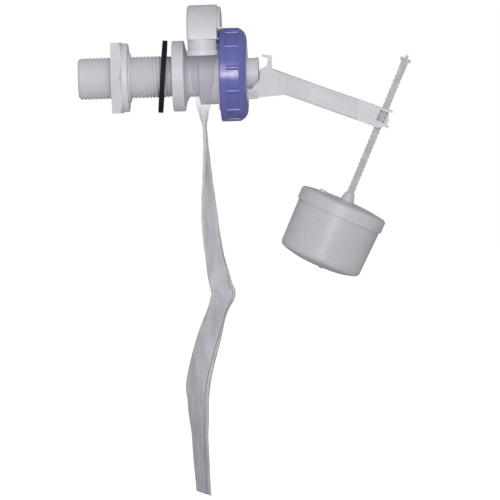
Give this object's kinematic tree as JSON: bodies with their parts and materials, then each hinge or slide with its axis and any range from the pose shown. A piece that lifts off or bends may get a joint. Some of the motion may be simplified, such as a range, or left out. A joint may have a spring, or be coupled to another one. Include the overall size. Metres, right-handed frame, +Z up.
{
  "type": "float valve",
  "caption": "Side-entry diaphragm float valve for a cistern: threaded tail, overhead outlet, ribbed cap nut, lever, notched rod, cup float and a hanging film silencer tube.",
  "frame": {"origin": "where the valve axis meets the flange face that seals against the tank wall", "axes": "+X along the valve axis into the tank, +Z up, the outlet collar and silencer tube on the -Y side"},
  "size_m": [0.1669, 0.0503, 0.2461],
  "materials": {
    "body_plastic": "satin moulded polymer",
    "nut_plastic": "satin moulded polymer",
    "cap_plastic": "glossy moulded polymer",
    "lever_plastic": "translucent natural polymer",
    "float_plastic": "translucent natural polymer",
    "rubber": "matt black rubber",
    "film": "thin translucent film",
    "steel": "drawn stainless wire",
    "strainer_plastic": "moulded polymer"
  },
  "bodies": {
    "body": {"valve_body": "body_plastic", "inlet_strainer": "strainer_plastic", "flow_restrictor": "strainer_plastic", "metering_pin": "steel", "diaphragm": "rubber", "discharge_hood": "body_plastic", "hood_end_plate": "body_plastic", "hood_seal": "rubber", "tube_clip": "nut_plastic", "silencer_tube": "film"},
    "diaphragm_core": {"diaphragm_plate": "strainer_plastic"},
    "cover": {"front_cover": "body_plastic", "pilot_nozzle": "strainer_plastic", "pivot_pin": "lever_plastic"},
    "cap_nut": {"cap_nut": "cap_plastic"},
    "lever": {"lever_arm": "lever_plastic", "pilot_seal": "rubber"},
    "float": {"float_rod": "lever_plastic", "float_lid": "float_plastic", "float_cup": "float_plastic"},
    "sealing_washer": {"sealing_washer": "rubber"},
    "slip_washer": {"slip_washer": "nut_plastic"},
    "backnut": {"backnut": "nut_plastic"}
  },
  "joints": [
    {"name": "diaphragm_lift", "type": "slide", "parent": "body", "child": "diaphragm_core", "axis": [1, 0, 0], "range_m": [0, 0.0018], "deforming": ["diaphragm"]},
    {"name": "cover_travel", "type": "slide", "parent": "body", "child": "cover", "axis": [1, 0, 0], "range_m": [0, 0.006]},
    {"name": "cap_nut_turn", "type": "hinge", "parent": "cover", "child": "cap_nut", "pos_m": [0.031, 0, 0], "axis": [1, 0, 0], "range_deg": [0, 715]},
    {"name": "lever_pivot", "type": "hinge", "parent": "cover", "child": "lever", "pos_m": [0.0412, 0, -0.0099], "axis": [0, -1, 0], "range_deg": [0, 20]},
    {"name": "rod_adjust", "type": "slide", "parent": "lever", "child": "float", "axis": [0.4115, 0, 0.9114], "range_m": [-0.02, 0.03]},
    {"name": "washer_slide", "type": "slide", "parent": "body", "child": "sealing_washer", "axis": [1, 0, 0], "range_m": [-0.0013, 0.0018]},
    {"name": "backnut_travel", "type": "slide", "parent": "body", "child": "slip_washer", "axis": [1, 0, 0], "range_m": [-0.0137, 0.011]},
    {"name": "backnut_turn", "type": "hinge", "parent": "slip_washer", "child": "backnut", "pos_m": [-0.0262, 0, 0], "axis": [1, 0, 0], "range_deg": [-2700, 2160]}
  ],
  "couplings": [
    {"joint": "cover_travel", "follows": "cap_nut_turn", "m_per_rad": 0.00047746},
    {"joint": "backnut_travel", "follows": "backnut_turn", "m_per_rad": 0.00028871}
  ]
}
